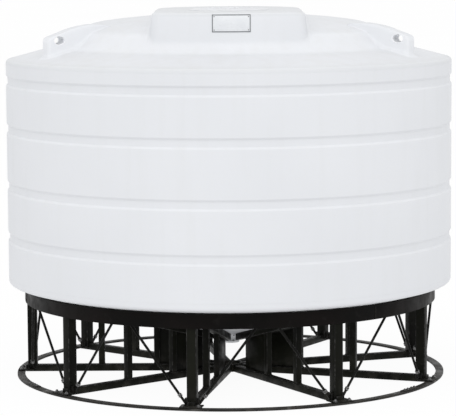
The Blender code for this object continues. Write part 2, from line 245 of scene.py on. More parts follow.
ROD_WELD_GROWTH = (1.1, 1.45, 1.1)
CLEAT = (0.024, 0.010, 0.050)  # half length, half width, height
CLEAT_ASIDE = 0.006
TAB = (0.012, 0.140, 0.070)  # thickness, width, height
TUBE_EDGE = 0.006
SMALL_TUBE_EDGE = 0.0042
PLATE_EDGE = 0.0025
ROLLED_ROUND = 0.003
INNER_ROUND = 0.002
BEAD_RADIUS = 0.0045
BEAD_PITCH = 0.012
BOLT_HEAD = 0.013
BOLT_HEIGHT = 0.014

# Material places in each steel piece's mesh
PAINT, EDGE, BEAD, ZINC = range(4)


def cone_z(radius):
    """Height of the cone's underside at a radius."""
    return CONE_EDGE[1] - (CONE_EDGE[0] - radius) * math.tan(CONE_ANGLE)


# Materials


class Shader:
    """A material being built: its node tree and its Principled shader."""

    def __init__(self, name, specular, metallic=0.0):
        self.material = bpy.data.materials.new(name)
        self.material.use_nodes = True
        self.tree = self.material.node_tree
        self.principled = self.tree.nodes["Principled BSDF"]
        self.principled.inputs["Specular IOR Level"].default_value = specular
        self.principled.inputs["Metallic"].default_value = metallic
        self.geometry = self.tree.nodes.new("ShaderNodeNewGeometry")

    def node(self, kind, inputs, **settings):
        """Add a node, and link or set each of its named inputs."""
        node = self.tree.nodes.new(kind)
        for key, value in settings.items():
            setattr(node, key, value)
        for key, value in inputs.items():
            if isinstance(value, bpy.types.NodeSocket):
                self.tree.links.new(value, node.inputs[key])
            else:
                node.inputs[key].default_value = value
        return node

    def noise(self, scale, detail, stretch=(1.0, 1.0, 1.0)):
        """Noise over the surface, by its place, at a scale in waves per metre."""
        place = {"Vector": self.geometry.outputs["Position"], "Scale": stretch}
        mapping = self.node("ShaderNodeMapping", place)
        inputs = {"Vector": mapping.outputs["Vector"], "Scale": scale, "Detail": detail}
        return self.node("ShaderNodeTexNoise", inputs).outputs["Fac"]

    def along(self, output, axis):
        """One part, X, Y or Z, of the surface's Position or Normal."""
        parts = self.node("ShaderNodeSeparateXYZ", {"Vector": self.geometry.outputs[output]})
        return parts.outputs[axis]

    def span(self, value, low, high, to_low=0.0, to_high=1.0):
        """A value moved from one range to another and held at its ends."""
        inputs = {"Value": value, "From Min": low, "From Max": high, "To Min": to_low, "To Max": to_high}
        return self.node("ShaderNodeMapRange", inputs).outputs["Result"]

    def times(self, first, second):
        """The product of two values."""
        return self.node("ShaderNodeMath", {0: first, 1: second}, operation="MULTIPLY").outputs[0]

    def mixed(self, factor, first, second):
        """A colour between two others."""
        inputs = {0: factor, 6: first, 7: second}
        return self.node("ShaderNodeMix", inputs, data_type="RGBA").outputs[2]

    def bump(self, height, distance, strength, under=None):
        """A bumped normal, over another where one is given."""
        inputs = {"Height": height, "Distance": distance, "Strength": strength}
        if under is not None:
            inputs["Normal"] = under
        return self.node("ShaderNodeBump", inputs).outputs["Normal"]

    def finish(self, colour, roughness, normal):
        """Link what the Principled shader takes, and give the material."""
        for name, socket in (("Base Color", colour), ("Roughness", roughness), ("Normal", normal)):
            self.tree.links.new(socket, self.principled.inputs[name])
        return self.material


def rgba(red, green, blue):
    """A solid colour."""
    return (red, green, blue, 1.0)


def white_plastic(name, base, shade, streaks=0.10, dust=0.16, sides=0.0, shade_belts=(), roughness=0.50):
    """Moulded polyethylene: cloudy tone, faint streaks, dust on tops and orange peel, with painted light
    on upward slopes and upright sides, painted shade on flat tops, and belts of painted shade.
    """
    s = Shader(name, specular=0.10)
    tone = s.mixed(s.span(s.noise(0.8, 3.0), 0.32, 0.68), base, shade)
    tone = s.mixed(s.span(s.noise(45.0, 3.0), 0.45, 0.75, 0.0, 0.12), tone, rgba(0.70, 0.70, 0.69))
    runs = s.span(s.noise(1.0, 4.0, stretch=(11.0, 11.0, 0.8)), 0.52, 0.74, 0.0, streaks)
    tone = s.mixed(runs, tone, rgba(0.62, 0.63, 0.62))
    lean = s.along("Normal", "Z")
    # Painted light: up-facing surfaces lightened a little, upright and down-facing ones by the sides
    # share.
    tone = s.mixed(s.span(lean, 0.20, 0.55, sides, 0.09), tone, rgba(0.90, 0.91, 0.93))
    # Painted shade: flat tops made darker, against the stronger light that falls on them.
    painted_top_shade = s.span(s.noise(1.3, 3.0), 0.30, 0.70, 0.35, 0.45)
    tone = s.mixed(s.times(s.span(lean, 0.85, 0.97), painted_top_shade), tone, rgba(0.61, 0.62, 0.64))
    height = s.along("Position", "Z")
    # Belts of painted shade at set heights.
    for start, full, end, amount in shade_belts:
        belt = s.times(s.span(height, start, full), s.span(height, end, end + 0.03, amount, 0.0))
        tone = s.mixed(belt, tone, rgba(0.52, 0.53, 0.53))
    grains = s.span(s.noise(9.0, 6.0), 0.42, 0.66, 0.0, dust)
    tone = s.mixed(s.times(s.span(lean, 0.25, 0.95), grains), tone, rgba(0.55, 0.53, 0.49))
    gloss = s.span(s.noise(4.0, 4.0), 0.30, 0.70, roughness - 0.05, roughness + 0.07)
    swell = s.bump(s.noise(1.6, 2.0), 0.020, 0.25)
    peel = s.bump(s.noise(190.0, 2.0), 0.0006, 0.20, swell)
    return s.finish(tone, gloss, peel)


def let_light_through(material, reach):
    """Make a plastic translucent: light spreads through it over a reach in metres."""
    principled = material.node_tree.nodes["Principled BSDF"]
    principled.inputs["Subsurface Weight"].default_value = 1.0
    principled.inputs["Subsurface Radius"].default_value = (1.0, 1.0, 1.0)
    principled.inputs["Subsurface Scale"].default_value = reach


def black_paint(name, base, shade, wear_and_glint=0.25, dust=0.5, bare=rgba(0.030, 0.029, 0.027), rubs=17.0):
    """Black paint on steel: uneven tone, grey worn patches, dust on top and near the floor; bright worn
    patches are partly painted highlight.
    """
    s = Shader(name, specular=0.06)
    tone = s.mixed(s.span(s.noise(2.6, 4.0), 0.35, 0.65), base, shade)
    # Worn patches toward the bare colour; a bright bare colour makes them partly a painted highlight.
    rubbed = s.span(s.noise(rubs, 6.0), 0.60, 0.72, 0.0, wear_and_glint)
    tone = s.mixed(rubbed, tone, bare)
    facing_up = s.span(s.along("Normal", "Z"), 0.40, 0.95)
    grains = s.span(s.noise(22.0, 5.0), 0.35, 0.70, 0.05, dust)
    tone = s.mixed(s.times(facing_up, grains), tone, rgba(0.055, 0.052, 0.046))
    low = s.span(s.along("Position", "Z"), 0.22, 0.0)
    splash = s.span(s.noise(13.0, 6.0), 0.46, 0.70, 0.0, dust)
    tone = s.mixed(s.times(low, splash), tone, rgba(0.045, 0.041, 0.035))
    gloss = s.span(s.noise(11.0, 4.0), 0.30, 0.70, 0.32, 0.56)
    sag = s.bump(s.noise(9.0, 3.0), 0.004, 0.20)
    grain = s.bump(s.noise(240.0, 2.0), 0.0005, 0.30, sag)
    return s.finish(tone, gloss, grain)


def worn_edge(name):
    """Paint on a corner, rubbed through to grey in places."""
    s = Shader(name, specular=0.12)
    rubbed = s.span(s.noise(30.0, 5.0), 0.50, 0.66)
    tone = s.mixed(rubbed, rgba(0.006, 0.006, 0.0055), rgba(0.040, 0.039, 0.037))
    gloss = s.span(s.noise(30.0, 5.0), 0.40, 0.66, 0.50, 0.36)
    grain = s.bump(s.noise(160.0, 3.0), 0.0006, 0.30)
    return s.finish(tone, gloss, grain)


def weld_paint(name):
    """Painted weld beads, with their ripples."""
    s = Shader(name, specular=0.12)
    dusty = s.span(s.noise(60.0, 3.0), 0.40, 0.65)
    tone = s.mixed(dusty, rgba(0.006, 0.006, 0.0055), rgba(0.022, 0.020, 0.017))
    gloss = s.span(s.noise(60.0, 3.0), 0.30, 0.70, 0.34, 0.52)
    ripple = s.bump(s.noise(320.0, 2.0), 0.0015, 0.50)
    return s.finish(tone, gloss, ripple)


def zinc(name):
    """Zinc plating on bolts, dulled and spotted."""
    s = Shader(name, specular=0.5, metallic=0.85)
    dulled = s.span(s.noise(70.0, 5.0), 0.42, 0.66)
    tone = s.mixed(dulled, rgba(0.22, 0.22, 0.22), rgba(0.08, 0.078, 0.072))
    gloss = s.span(s.noise(90.0, 4.0), 0.30, 0.70, 0.28, 0.50)
    scratches = s.bump(s.noise(400.0, 3.0), 0.0004, 0.25)
    return s.finish(tone, gloss, scratches)


def plate_paint(name, base, shade):
    """Baked paint on the bare plate: slight clouding and fine scratches."""
    s = Shader(name, specular=0.40)
    tone = s.mixed(s.span(s.noise(14.0, 4.0), 0.35, 0.65), base, shade)
    rubs = s.span(s.noise(40.0, 6.0, stretch=(1.0, 1.0, 7.0)), 0.56, 0.72, 0.0, 0.25)
    tone = s.mixed(rubs, tone, rgba(0.50, 0.52, 0.54))
    gloss = s.span(s.noise(25.0, 5.0), 0.30, 0.70, 0.26, 0.42)
    grain = s.bump(s.noise(260.0, 2.0), 0.0003, 0.25)
    return s.finish(tone, gloss, grain)


# Mesh helpers


def shaped(name, bm, materials, sharp_degrees=32.0):
    """Turn a bmesh into a smooth-shaded mesh with its materials."""
    mesh = bpy.data.meshes.new(name)
    bm.to_mesh(mesh)
    bm.free()
    for material in materials:
        mesh.materials.append(material)
    mesh.shade_smooth()
    mesh.set_sharp_from_angle(angle=math.radians(sharp_degrees))
    return mesh


def placed(name, mesh, turn=0.0):
    """Add an object, turned about the tank's axis."""
    obj = bpy.data.objects.new(name, mesh)
    bpy.context.scene.collection.objects.link(obj)
    obj.rotation_euler.z = turn
    return obj


def finished(name, bm, materials, sharp_degrees=32.0):
    """Turn a bmesh into an object of its own."""
    return placed(name, shaped(name, bm, materials, sharp_degrees))


def dressed(obj, slot, *nodes):
    """Fix a piece to the tank, in place of the frame's own nodes."""
    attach(obj, BODY)
    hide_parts(*nodes)


def outward(bm):
    """Point the faces of one closed part out."""
    bmesh.ops.recalc_face_normals(bm, faces=bm.faces)
    if bm.calc_volume(signed=True) < 0.0:
        bmesh.ops.reverse_faces(bm, faces=bm.faces)
    return bm


def join(target, part, place=None):
    """Move one bmesh into another, and free it."""
    mesh = bpy.data.meshes.new("part")
    part.to_mesh(mesh)
    part.free()
    if place is not None:
        mesh.transform(place)
    target.from_mesh(mesh)
    bpy.data.meshes.remove(mesh)


def bezier(start, middle, end, steps):
    """Points on a quadratic curve, with both ends."""
    points = []
    for k in range(steps + 1):
        t = k / steps
        points.append(tuple(
            a * (1 - t) ** 2 + b * 2 * t * (1 - t) + c * t**2 for a, b, c in zip(start, middle, end)
        ))
    return points


def arc(centre, radius, start, end, steps):
    """Points on a circle, with both ends, by angle in radians."""
    angles = [start + (end - start) * i / steps for i in range(steps + 1)]
    return [(centre[0] + radius * math.cos(a), centre[1] + radius * math.sin(a)) for a in angles]


def rounded(corners, steps=4):
    """A closed outline of (u, v, radius) corners as plain points, each corner rounded by its radius."""
    points = []
    for i, (u, v, radius) in enumerate(corners):
        corner = Vector((u, v))
        before = Vector(corners[i - 1][:2]) - corner
        after = Vector(corners[(i + 1) % len(corners)][:2]) - corner
        if radius == 0.0:
            points.append((u, v))
            continue
        reach = radius / math.tan(before.angle(after) / 2)
        reach = min(reach, 0.45 * before.length, 0.45 * after.length)
        start = corner + before.normalized() * reach
        end = corner + after.normalized() * reach
        points.extend(bezier(start, corner, end, steps))
    return points


def turned(profile, steps, first_angle=0.0):
    """A closed (radius, height) profile turned about the Z axis. Points on the axis are shared."""
    bm = bmesh.new()
    on_axis = {i: bm.verts.new((0.0, 0.0, z)) for i, (r, z) in enumerate(profile) if r == 0.0}
    columns = []
    for k in range(steps):
        angle = first_angle + 2 * math.pi * k / steps
        across, along = math.cos(angle), math.sin(angle)
        column = []
        for i, (r, z) in enumerate(profile):
            column.append(on_axis.get(i) or bm.verts.new((r * across, r * along, z)))
        columns.append(column)
    count = len(profile)
    for k in range(steps):
        near, far = columns[k], columns[(k + 1) % steps]
        for i in range(count):
            j = (i + 1) % count
            ring = list(dict.fromkeys((near[i], far[i], far[j], near[j])))
            if len(ring) > 2:
                bm.faces.new(ring)
    return outward(bm)


def lofted(rings, across=False):
    """A closed surface through rings of equal length, with its first and last ring filled.

    A ring that is the same on both sides of its middle can be filled across, so that it may bend.
    """
    bm = bmesh.new()
    loops = [[bm.verts.new(point) for point in ring] for ring in rings]
    count = len(rings[0])
    for near, far in zip(loops, loops[1:]):
        for i in range(count):
            j = (i + 1) % count
            bm.faces.new((near[i], near[j], far[j], far[i]))
    for end in (loops[0][::-1], loops[-1]):
        if across:
            for i in range(count // 2 - 1):
                bm.faces.new((end[i], end[i + 1], end[count - 2 - i], end[count - 1 - i]))
        else:
            bm.faces.new(end)
    return outward(bm)


def slab(outline, thickness, edge, segments=2):
    """A flat (radius, height) outline stood up along +X, with worn round edges."""
    bm = bmesh.new()
    face = bm.faces.new([bm.verts.new((u, -thickness / 2, v)) for u, v in outline])
    grown = bmesh.ops.extrude_face_region(bm, geom=[face])["geom"]
    moved = [item for item in grown if isinstance(item, bmesh.types.BMVert)]
    bmesh.ops.translate(bm, verts=moved, vec=(0.0, thickness, 0.0))
    return edged(bm, edge, segments)


def block(x, y, z, edge, segments=2):
    """A box between limits, with worn round edges."""
    bm = bmesh.new()
    bmesh.ops.create_cube(bm, size=1.0)
    size = Matrix.Diagonal((x[1] - x[0], y[1] - y[0], z[1] - z[0], 1.0))
    middle = Matrix.Translation(((x[0] + x[1]) / 2, (y[0] + y[1]) / 2, (z[0] + z[1]) / 2))
    bmesh.ops.transform(bm, matrix=middle @ size, verts=bm.verts)
    return edged(bm, edge, segments)


def edged(bm, edge, segments):
    """Round all edges of a closed part, with the worn paint on them."""
    outward(bm)
    bmesh.ops.bevel(
        bm,
        geom=bm.edges[:],
        offset=edge,
        segments=segments,
        profile=0.5,
        affect="EDGES",
        clamp_overlap=True,
        material=EDGE,
    )
    return bm


def painted(bm, index):
    """Give all faces of a bmesh one material place."""
    for face in bm.faces:
        face.material_index = index
    return bm


def prism(radius, low, high, sides, edge=0.0008):
    """An upright prism on the axis, with a slight chamfer."""
    bm = bmesh.new()
    middle = Matrix.Translation((0.0, 0.0, (low + high) / 2))
    bmesh.ops.create_cone(
        bm, cap_ends=True, segments=sides, radius1=radius, radius2=radius, depth=high - low, matrix=middle
    )
    bmesh.ops.bevel(bm, geom=bm.edges[:], offset=edge, segments=1, affect="EDGES", clamp_overlap=True)
    return bm


def bolt(head=BOLT_HEAD, height=BOLT_HEIGHT):
    """A hex nut on a washer with its stud's end, standing on the origin."""
    bm = bmesh.new()
    for radius, low, high, sides in (
        (head * 1.45, 0.0, 0.18, 24),
        (head, 0.18, 0.86, 6),
        (head * 0.55, 0.86, 1.25, 14),
    ):
        join(bm, prism(radius, low * height, high * height, sides))
    return painted(bm, ZINC)


def tube(points, radii, sides):
    """A round tube through points, with a radius at each, closed at both ends."""
    rings = []
    for i, point in enumerate(points):
        here = Vector(point)
        before = Vector(points[max(i - 1, 0)])
        after = Vector(points[min(i + 1, len(points) - 1)])
        turn = (after - before).to_track_quat("Z", "Y")
        ring = []
        for k in range(sides):
            angle = 2 * math.pi * k / sides
            ring.append(here + turn @ Vector((math.cos(angle), math.sin(angle), 0.0)) * radii[i])
        rings.append(ring)
    return lofted(rings)


def bead(corners):
    """A rippled weld bead along straight runs between corners."""
    points = []
    for start, end in zip(corners, corners[1:]):
        start, end = Vector(start), Vector(end)
        steps = max(2, round((end - start).length / BEAD_PITCH) * 2)
        points.extend(start.lerp(end, k / steps) for k in range(steps))
    points.append(Vector(corners[-1]))
    radii = [BEAD_RADIUS * (0.85 + 0.25 * (i % 2)) for i in range(len(points))]
    return painted(tube(points, radii, 6), BEAD)


def square_bead(x, y, z):
    """A weld bead round an upright tube's foot."""
    loop = [(x[0], y[0], z), (x[1], y[0], z), (x[1], y[1], z), (x[0], y[1], z), (x[0], y[0], z)]
    return bead(loop)


# Tank pieces


def build_wall(material):
    """The whole round wall as one smooth skin with rounded grooves."""
    floor_radius = TANK_RADIUS - GROOVE_DEPTH
    corners = [(TANK_RADIUS, WALL_TOP_Z, 0.0)]
    for low in reversed(GROOVE_BASES):
        high = low + GROOVE_HEIGHT
        corners.append((TANK_RADIUS, high, GROOVE_LIP))
        corners.append((floor_radius, high - GROOVE_CHAMFER, GROOVE_LIP))
        corners.append((floor_radius, low + GROOVE_CHAMFER, GROOVE_LIP))
        corners.append((TANK_RADIUS, low, GROOVE_LIP))
    inner = TANK_RADIUS - SHELL
    corners.extend([(TANK_RADIUS, WALL_BASE_Z, 0.0), (inner, WALL_BASE_Z, 0.0), (inner, WALL_TOP_Z, 0.0)])
    wall = finished("tank_wall", turned(rounded(corners), TANK_STEPS), [material])
    dressed(wall, "tank_wall", *[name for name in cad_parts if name.startswith("wall_segment")])


def build_bottom(material):
    """The cone with its rounded edge and flat middle."""
    corner_z = cone_z(TANK_RADIUS)
    sump_z = cone_z(SUMP_RADIUS)
    inner = TANK_RADIUS - SHELL
    rim_z = WALL_BASE_Z - GAP
    corners = [
        (TANK_RADIUS, rim_z, 0.0),
        (TANK_RADIUS, corner_z, CONE_ROUND),
        (SUMP_RADIUS, sump_z, SUMP_ROUND),
        (OUTLET_HOLE, sump_z, 0.0),
        (OUTLET_HOLE, sump_z + SHELL, 0.0),
        (SUMP_RADIUS, sump_z + SHELL, SUMP_ROUND),
        (inner, corner_z + SHELL, CONE_ROUND),
        (inner, rim_z, 0.0),
    ]
    bottom = finished("tank_bottom", turned(rounded(corners, 6), TANK_STEPS), [material])
    dressed(bottom, "tank_bottom", "cone_bottom")


def smooth_curve(points):
    """A height by radius through the points, without overshoot."""
    places = [p[0] for p in points]
    heights = [p[1] for p in points]
    slopes = [(b[1] - a[1]) / (b[0] - a[0]) for a, b in zip(points, points[1:])]
    tangents = [slopes[0]]
    for a, b in zip(slopes, slopes[1:]):
        tangents.append(2 * a * b / (a + b) if a * b > 0 else 0.0)
    tangents.append(slopes[-1])

    def height(place):
        i = min(max(bisect.bisect_right(places, place) - 1, 0), len(places) - 2)
        width = places[i + 1] - places[i]
        t = min(max((place - places[i]) / width, 0.0), 1.0)
        return (
            heights[i] * (2 * t**3 - 3 * t**2 + 1)
            + tangents[i] * width * (t**3 - 2 * t**2 + t)
            + heights[i + 1] * (3 * t**2 - 2 * t**3)
            + tangents[i + 1] * width * (t**3 - t**2)
        )

    return height


def roof_points():
    """The roof's profile from the crest to the start of the shoulder's round."""
    points = []
    for share in (0.0, 0.33, 0.67, 1.0):
        points.append((DOME_RADIUS * share, DOME_CREST_Z - DOME_RISE * share**2))
    points.extend(RIM)
    start, start_z = SHOULDER_INNER
    for radius in (start, *SHOULDER_BETWEEN, TANK_RADIUS - SHOULDER_ROUND):
        points.append((radius, start_z - (radius - start) * math.tan(SHOULDER_SLOPE)))
    return points


roof_z = smooth_curve(roof_points())
lug_z = smooth_curve(LUG_TOP)


def boss_edge():
    """Plan points and outward directions all round the boss's top edge."""
    side_x = BOSS_HALF_WIDTH - BOSS_CORNER
    side_y = -math.sqrt((BOSS_FRONT_RADIUS - BOSS_CORNER) ** 2 - side_x**2)
    turn = math.atan2(-side_y, side_x)
    front, corner, side, back = BOSS_STEPS
    edge = []

    def add_arc(centre, radius, start, end, steps):
        for k in range(steps):
            angle = start + (end - start) * k / steps
            way = Vector((math.cos(angle), math.sin(angle)))
            edge.append((Vector(centre) + way * radius, way))

    def add_side(x, start, end, steps):
        for k in range(steps):
            way = Vector((math.copysign(1.0, x), 0.0))
            edge.append((Vector((x, start + (end - start) * k / steps)), way))

    add_arc((0.0, 0.0), BOSS_FRONT_RADIUS, turn - math.pi, -turn, front)
    add_arc((side_x, side_y), BOSS_CORNER, -turn, 0.0, corner)
    add_side(BOSS_HALF_WIDTH, side_y, 0.0, side)
    add_arc((0.0, 0.0), BOSS_HALF_WIDTH, 0.0, math.pi, back)
    add_side(-BOSS_HALF_WIDTH, 0.0, side_y, side)
    add_arc((-side_x, side_y), BOSS_CORNER, -math.pi, turn - math.pi, corner)
    return edge


def wall_radius(top_radius, height):
    """Radius of the boss's drafted wall at a height, from its radius at the top."""
    return top_radius * (1.0 + BOSS_DRAFT * (BOSS_TOP_Z - height))


def foot_radius(top_radius):
    """Radius where the boss's wall meets the roof."""
    low, high = top_radius, top_radius * 1.1
    for _ in range(30):
        middle = (low + high) / 2
        if wall_radius(top_radius, roof_z(middle)) > middle:
            low = middle
        else:
            high = middle
    return low


def roof_section(top_radius, stretch, edge):
    """(radius, height) points of the roof along one ray, over the boss and out to the rim."""
    top_steps, wall_steps, run_steps = RAY_STEPS
    inset = edge * stretch
    section = [((top_radius - inset) * k / top_steps, BOSS_TOP_Z) for k in range(1, top_steps)]
    shoulder = (wall_radius(top_radius, BOSS_TOP_Z - edge), BOSS_TOP_Z - edge)
    section.extend(bezier((top_radius - inset, BOSS_TOP_Z), (top_radius, BOSS_TOP_Z), shoulder, 6))
    foot = foot_radius(top_radius)
    foot_z = roof_z(foot)
    wall_end = (wall_radius(top_radius, foot_z + BOSS_FILLET), foot_z + BOSS_FILLET)
    for k in range(1, wall_steps):
        t = k / wall_steps
        section.append(tuple(a + (b - a) * t for a, b in zip(shoulder, wall_end)))
    run_start = foot + BOSS_FILLET * stretch
    section.extend(bezier(wall_end, (foot, foot_z), (run_start, roof_z(run_start)), 7))
    round_start = TANK_RADIUS - SHOULDER_ROUND
    for k in range(1, run_steps):
        radius = run_start + (round_start - run_start) * k / run_steps
        section.append((radius, roof_z(radius)))
    centre = (round_start, roof_z(round_start) - SHOULDER_ROUND)
    section.extend(arc(centre, SHOULDER_ROUND, math.pi / 2 - SHOULDER_SLOPE, 0.0, 6))
    rim_z = WALL_TOP_Z + GAP
    inner = TANK_RADIUS - SHELL
    section.extend([(TANK_RADIUS, rim_z), (inner, rim_z), (inner, centre[1])])
    for radius in UNDERSIDE_RADII:
        section.append((radius, roof_z(radius) - SHELL))
    return section


def build_roof(material):
    """Roof with its boss as one smooth skin, worked out along rays through the boss's edge."""
    bm = bmesh.new()
    columns = []
    for point, way in boss_edge():
        top_radius = point.length
        ray = point / top_radius
        edge = BOSS_ROUNDS[0] + (BOSS_ROUNDS[1] - BOSS_ROUNDS[0]) * abs(way.x)
        section = roof_section(top_radius, 1.0 / max(way.dot(ray), 0.35), edge)
        columns.append([bm.verts.new((ray.x * r, ray.y * r, z)) for r, z in section])
    count = len(columns[0])
    top = bm.verts.new((0.0, 0.0, BOSS_TOP_Z))
    under = bm.verts.new((0.0, 0.0, DOME_CREST_Z - SHELL))
    for near, far in zip(columns, columns[1:] + columns[:1]):
        bm.faces.new((top, near[0], far[0]))
        bm.faces.new((under, far[-1], near[-1]))
        for i in range(count - 1):
            bm.faces.new((near[i], near[i + 1], far[i + 1], far[i]))
    roof = finished("roof_skin", outward(bm), [material], 40.0)
    dressed(roof, "tank_roof", "roof")


def lug_contour(offset):
    """Plan of a lug as a rounded rectangle, moved out by the offset."""
    low, high = LUG_REACH[0] - offset, LUG_REACH[1] + offset
    half = LUG_THICKNESS / 2 + offset
    corner = max(min(LUG_CORNER + offset, half - 0.001), 0.002)
    contour = []
    for x, y, start in (
        (high - corner, half - corner, 0.0),
        (low + corner, half - corner, 0.5),
        (low + corner, corner - half, 1.0),
        (high - corner, corner - half, 1.5),
    ):
        contour.extend(arc((x, y), corner, start * math.pi, (start + 0.5) * math.pi, 6))
        if start in (0.5, 1.5):
            continue
        step = (low + corner - x) / LUG_STEPS if start == 0.0 else (high - corner - x) / LUG_STEPS
        side = half if start == 0.0 else -half
        contour.extend((x + step * k, side) for k in range(1, LUG_STEPS))
    return contour


def lug_ring(offset, share, sunk=0.0, dropped=0.0):
    """One level of a lug: its contour, at a share of the way from the roof to the lug's top.

    It is sunk by a depth, and dropped by a share of the top's round, which is less where the lug is low.
    """
    ring = []
    for x, y in lug_contour(offset):
        foot = roof_z(math.hypot(x, y))
        height = lug_z(min(max(x, LUG_REACH[0]), LUG_REACH[1])) - foot
        edge = min(LUG_ROUND, LUG_ROUND_SHARE * max(height, 0.0))
        ring.append((x, y, foot + height * share - sunk - edge * dropped))
    return ring


def build_lugs(plastic, bore):
    """The moulded lifting lugs, each with an oval, round-edged eye."""
    rings = [lug_ring(LUG_FILLET, 0.0, sunk) for sunk in LUG_SUNK]
    for offset, share in bezier((LUG_FILLET, 0.0), (0.0, 0.0), (0.0, LUG_FILLET_SHARE), 5)[1:]:
        rings.append(lug_ring(offset, share))
    for share in LUG_SHARES:
        rings.append(lug_ring(0.0, share))
    for inset, dropped in bezier((0.0, 1.0), (0.0, 0.0), (LUG_ROUND, 0.0), 5):
        rings.append(lug_ring(-inset, 1.0, dropped=dropped))
    for inset in LUG_INSETS:
        rings.append(lug_ring(-inset, 1.0))
    lug = finished("lifting_lug", lofted(rings, across=True), [plastic, bore])

    half = LUG_THICKNESS / 2
    eye, eye_height = LUG_EYE_HALVES
    profile = rounded([
        (eye + EYE_FLARE * 2, half + EYE_FLARE, 0.0),
        (eye, half - EYE_FLARE, EYE_ROUND),
        (eye, EYE_FLARE - half, EYE_ROUND),
        (eye + EYE_FLARE * 2, -half - EYE_FLARE, 0.0),
        (0.0, -half - EYE_FLARE, 0.0),
        (0.0, half + EYE_FLARE, 0.0),
    ])
    # The eye's faces take the lighter bore plastic: painted light.
    cutter = finished("eye_cutter", painted(turned(profile, EYE_STEPS), 1), [plastic, bore])
    cutter.scale.y = eye_height / eye
    cutter.rotation_euler = (math.pi / 2, 0.0, 0.0)
    cutter.location = (LUG_EYE[0], 0.0, LUG_EYE[1])
    cut = lug.modifiers.new("eye", "BOOLEAN")
    cut.operation = "DIFFERENCE"
    cut.solver = "EXACT"
    cut.object = cutter
    bpy.context.view_layer.update()
    mesh = bpy.data.meshes.new_from_object(lug.evaluated_get(bpy.context.evaluated_depsgraph_get()))
    mesh.set_sharp_from_angle(angle=LUG_SHARP)
    for obj in (lug, cutter):
        bpy.data.objects.remove(obj, do_unlink=True)
    for i, degrees in enumerate(LUG_DEGREES):
        copy = placed(f"lifting_lug_{i + 1}", mesh, math.radians(degrees))
        dressed(copy, "tank_roof", "roof")


def build_lid(material):
    """The manway's lid: a flanged disc with a recessed ring, radial ribs and a vent cap."""
    base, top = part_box("manway_lid")[0].z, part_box("manway_lid")[1].z
    profile = rounded([
        (0.0, top, 0.0),
        *((radius, top - drop, curve) for radius, drop, curve in LID_TOP),
        (LID_RADIUS, base + LID_LIP, INNER_ROUND),
        (LID_RADIUS, base, 0.0),
        (0.0, base, 0.0),
    ])
    bm = turned(profile, LID_STEPS)
    rib_z = tuple(top - drop for drop in LID_RIB_DROPS)
    for k in range(LID_RIBS):
        rib = block(LID_RIB_REACH, (-LID_RIB_HALF, LID_RIB_HALF), rib_z, LID_RIB_EDGE)
        join(bm, painted(rib, 0), Matrix.Rotation(2 * math.pi * k / LID_RIBS, 4, "Z"))
    lid = finished("lid_disc", bm, [material])
    lid.location.y = MANWAY_Y
    dressed(lid, "lid", "manway_lid")


def bent_panel(u, v, depth, edge):
    """A thin panel bent round the boss's front wall: limits across, up and out from the wall."""
    bm = block(u, depth, v, edge)
    if u[1] - u[0] > 2 * PLATE_BORDER:
        for k in range(1, 16):
            place = (u[0] + (u[1] - u[0]) * k / 16, 0.0, 0.0)
            geometry = bm.verts[:] + bm.edges[:] + bm.faces[:]
            bmesh.ops.bisect_plane(bm, geom=geometry, plane_co=place, plane_no=(1.0, 0.0, 0.0))
    for vert in bm.verts:
        radius = wall_radius(BOSS_FRONT_RADIUS, vert.co.z) + GAP + vert.co.y
        angle = (vert.co.x + PLATE_ASIDE) / radius - math.pi / 2
        vert.co.x = radius * math.cos(angle)
        vert.co.y = radius * math.sin(angle)
    return outward(bm)


def build_plate(panel_paint, border_paint, metal):
    """The bare plate on the boss: a thin panel in a raised border, held by four rivets."""
    half = PLATE_WIDTH / 2
    low, high = PLATE_MID_Z - PLATE_HEIGHT / 2, PLATE_MID_Z + PLATE_HEIGHT / 2
    inset = PLATE_BORDER
    inner_u, inner_v = (inset - half, half - inset), (low + inset, high - inset)
    bm = painted(bent_panel(inner_u, inner_v, PANEL_DEPTH, PANEL_EDGE), 0)
    for u, v in (
        ((-half, half), (high - inset, high)),
        ((-half, half), (low, low + inset)),
        ((-half, inset - half), inner_v),
        ((half - inset, half), inner_v),
    ):
        join(bm, painted(bent_panel(u, v, BORDER_DEPTH, BORDER_EDGE), 1))
    for u in (-half + RIVET_INSET, half - RIVET_INSET):
        for v in (low + RIVET_INSET, high - RIVET_INSET):
            radius = wall_radius(BOSS_FRONT_RADIUS, v) + GAP + RIVET_BASE
            angle = (u + PLATE_ASIDE) / radius - math.pi / 2
            rivet = prism(RIVET_RADIUS, 0.0, RIVET_HEIGHT, 16, RIVET_EDGE)
            out = Matrix.Rotation(angle, 4, "Z") @ Matrix.Translation((radius, 0.0, v))
            join(bm, painted(rivet, 2), out @ Matrix.Rotation(math.pi / 2, 4, "Y"))
    plate = finished("bare_plate", bm, [panel_paint, border_paint, metal])
    dressed(plate, "plate", "blank_plate")


